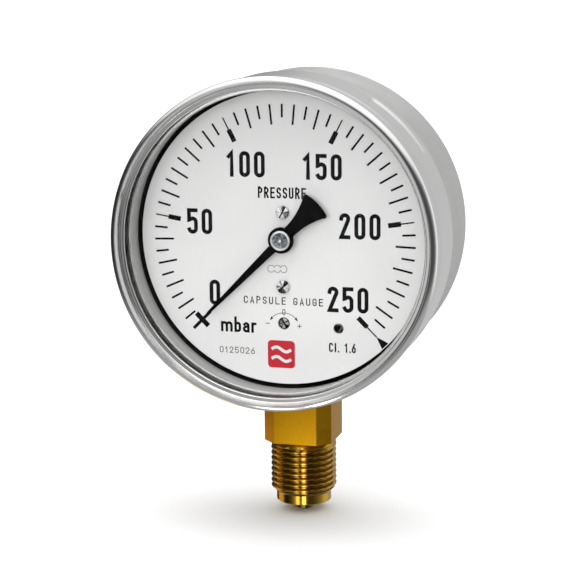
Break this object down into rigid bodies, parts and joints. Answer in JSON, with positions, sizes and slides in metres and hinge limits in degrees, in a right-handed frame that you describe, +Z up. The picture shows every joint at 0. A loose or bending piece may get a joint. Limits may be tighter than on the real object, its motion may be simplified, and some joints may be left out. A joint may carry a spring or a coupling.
{
  "type": "pressure gauge",
  "caption": "Round stainless capsule pressure gauge with bayonet bezel, white dial, black pointer and a brass bottom connection with pipe thread.",
  "frame": {"origin": "on the stem's axis at the connection's flat sealing face, just above the spigot", "axes": "+Z up along the stem to the dial, the dial faces -Y, +X to the dial's right as it is read"},
  "size_m": [0.101, 0.0582, 0.1418],
  "materials": {
    "stainless_case": "satin stainless steel, deep drawn",
    "polished_bezel": "polished stainless steel with fine turning marks",
    "window_glass": "clear flat instrument glass",
    "gasket_grey": "matt grey rubber",
    "rubber_black": "matt black rubber",
    "dial_white": "white enamel with black and red print",
    "pointer_black": "satin black enamel",
    "steel_small": "turned and ground steel",
    "socket_brass": "machined brass with a warm tint",
    "movement_brass": "stamped and brushed brass",
    "capsule_bronze": "thin corrugated copper alloy",
    "copper_tube": "drawn copper capillary"
  },
  "bodies": {
    "housing": {"case": "stainless_case", "window": "window_glass", "window_support_ring": "stainless_case", "window_gasket": "gasket_grey", "blowout_plug": "rubber_black", "dial": "dial_white", "dial_screw_upper": "steel_small", "dial_screw_lower": "steel_small", "dial_post_upper": "movement_brass", "dial_post_lower": "movement_brass", "hairspring_stud": "movement_brass", "front_plate": "movement_brass", "back_plate": "movement_brass", "pillar_upper_left": "movement_brass", "pillar_upper_right": "movement_brass", "pillar_lower_left": "movement_brass", "pillar_lower_right": "movement_brass", "pillar_screw_upper_left": "steel_small", "pillar_screw_upper_right": "steel_small", "pillar_screw_lower_left": "steel_small", "pillar_screw_lower_right": "steel_small", "bearing_ear_left": "movement_brass", "bearing_ear_right": "movement_brass", "capsule_front_diaphragm": "capsule_bronze", "capsule_rear_diaphragm": "capsule_bronze", "capsule_stem": "movement_brass", "capsule_nut": "movement_brass", "capsule_carrier": "steel_small", "pressure_tube": "copper_tube", "socket": "socket_brass", "socket_gasket": "rubber_black", "restrictor": "steel_small", "bore_plug": "movement_brass", "case_screw_left": "steel_small", "case_screw_right": "steel_small", "carrier_screw_left": "steel_small", "carrier_screw_right": "steel_small", "movement_screw_left": "steel_small", "movement_screw_right": "steel_small"},
    "bezel": {"bezel_ring": "polished_bezel"},
    "pointer_shaft": {"pointer": "pointer_black", "pointer_hub": "steel_small", "pinion_arbor": "steel_small", "hairspring": "capsule_bronze", "hairspring_collet": "movement_brass"},
    "sector": {"sector_gear": "movement_brass", "sector_arbor": "steel_small", "link_pin": "steel_small"},
    "connecting_link": {"link": "movement_brass"},
    "rocker": {"rocker_shaft": "steel_small", "rocker_drive_arm": "movement_brass", "rocker_push_arm": "movement_brass"},
    "boss": {"capsule_boss": "movement_brass"},
    "zero_screw": {"zero_adjust_screw": "steel_small"}
  },
  "joints": [
    {"name": "sector_turn", "type": "hinge", "parent": "housing", "child": "sector", "pos_m": [0, -0.0119, 0.0668], "axis": [0, 1, 0], "range_deg": [-34.4, 0], "stiffness_Nm_per_rad": 0.1, "springref_deg": 1.15},
    {"name": "pointer_turn", "type": "hinge", "parent": "housing", "child": "pointer_shaft", "pos_m": [0, -0.0245, 0.0884], "axis": [0, 1, 0], "range_deg": [0, 275.2], "deforming": ["hairspring"]},
    {"name": "link_swing", "type": "hinge", "parent": "sector", "child": "connecting_link", "pos_m": [-0.00392, -0.0102, 0.06801], "axis": [0, 1, 0], "range_deg": [0, 34.4]},
    {"name": "rocker_turn", "type": "hinge", "parent": "housing", "child": "rocker", "pos_m": [0, -0.0031, 0.0834], "axis": [1, 0, 0], "range_deg": [0, 19.4]},
    {"name": "capsule_travel", "type": "slide", "parent": "housing", "child": "boss", "axis": [0, -1, 0], "range_m": [0, 0.00135], "deforming": ["capsule_front_diaphragm"]},
    {"name": "zero_adjust", "type": "hinge", "parent": "housing", "child": "zero_screw", "pos_m": [0, -0.0221, 0.0622], "axis": [0, 1, 0], "range_deg": [-60, 60]},
    {"name": "bezel_twist", "type": "hinge", "parent": "housing", "child": "bezel", "pos_m": [0, -0.0221, 0.0884], "axis": [0, 1, 0], "range_deg": [-40, 0]}
  ],
  "couplings": [
    {"joint": "pointer_turn", "follows": "sector_turn", "ratio": -8},
    {"joint": "link_swing", "follows": "sector_turn", "ratio": -1},
    {"joint": "rocker_turn", "follows": "sector_turn", "ratio": -0.5634},
    {"joint": "capsule_travel", "follows": "sector_turn", "m_per_rad": -0.0022429}
  ]
}
